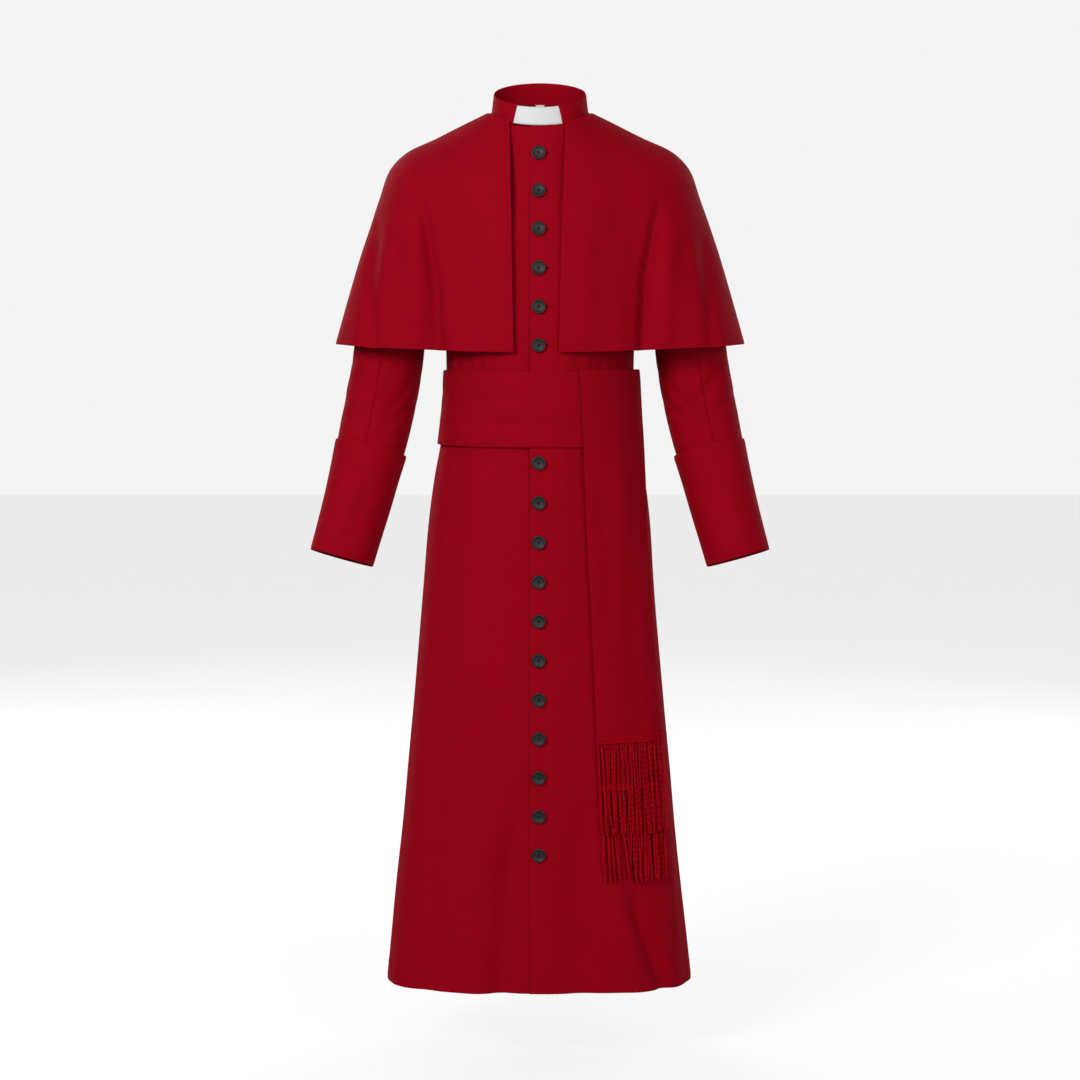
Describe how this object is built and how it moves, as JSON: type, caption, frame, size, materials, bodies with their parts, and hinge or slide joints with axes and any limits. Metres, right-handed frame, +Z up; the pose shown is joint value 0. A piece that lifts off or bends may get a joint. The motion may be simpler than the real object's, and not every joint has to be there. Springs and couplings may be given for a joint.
{
  "type": "cassock with shoulder cape and sash",
  "caption": "Ankle-length buttoned cassock, filled out as worn, with stand collar, elbow-length shoulder cape, turned-back cuffs, side-back pleats and a fringed sash.",
  "frame": {"origin": "centre of the neck at the height of the collar seam, where the wearer holds the garment up", "axes": "+Z up out of the neck, front towards -Y, wearer's left at +X"},
  "size_m": [0.7292, 0.3325, 1.4366],
  "materials": {
    "red_cloth": "matt woven cloth with a faint sheen",
    "red_fringe": "twisted silky threads",
    "white_tab": "smooth matt",
    "white_label": "woven tape",
    "black_button": "matt, slightly domed"
  },
  "bodies": {
    "root": {"back_centre": "red_cloth", "button_01": "black_button", "button_02": "black_button", "button_03": "black_button", "button_04": "black_button", "button_05": "black_button", "button_06": "black_button", "button_07": "black_button", "button_08": "black_button", "button_09": "black_button", "button_10": "black_button", "button_11": "black_button", "button_12": "black_button", "button_13": "black_button", "button_14": "black_button", "button_15": "black_button", "button_16": "black_button", "button_17": "black_button", "cape_back": "red_cloth", "cape_front_left": "red_cloth", "cape_front_right": "red_cloth", "collar_band": "red_cloth", "collar_tab": "white_tab", "cuff_left": "red_cloth", "cuff_right": "red_cloth", "fringe_front": "red_fringe", "fringe_rear": "red_fringe", "front_left": "red_cloth", "front_right": "red_cloth", "neck_label": "white_label", "pleat_left": "red_cloth", "pleat_right": "red_cloth", "sash_band": "red_cloth", "sash_fall_front": "red_cloth", "sash_fall_rear": "red_cloth", "side_left": "red_cloth", "side_right": "red_cloth", "sleeve_top_left": "red_cloth", "sleeve_top_right": "red_cloth", "sleeve_under_left": "red_cloth", "sleeve_under_right": "red_cloth"}
  },
  "joints": []
}
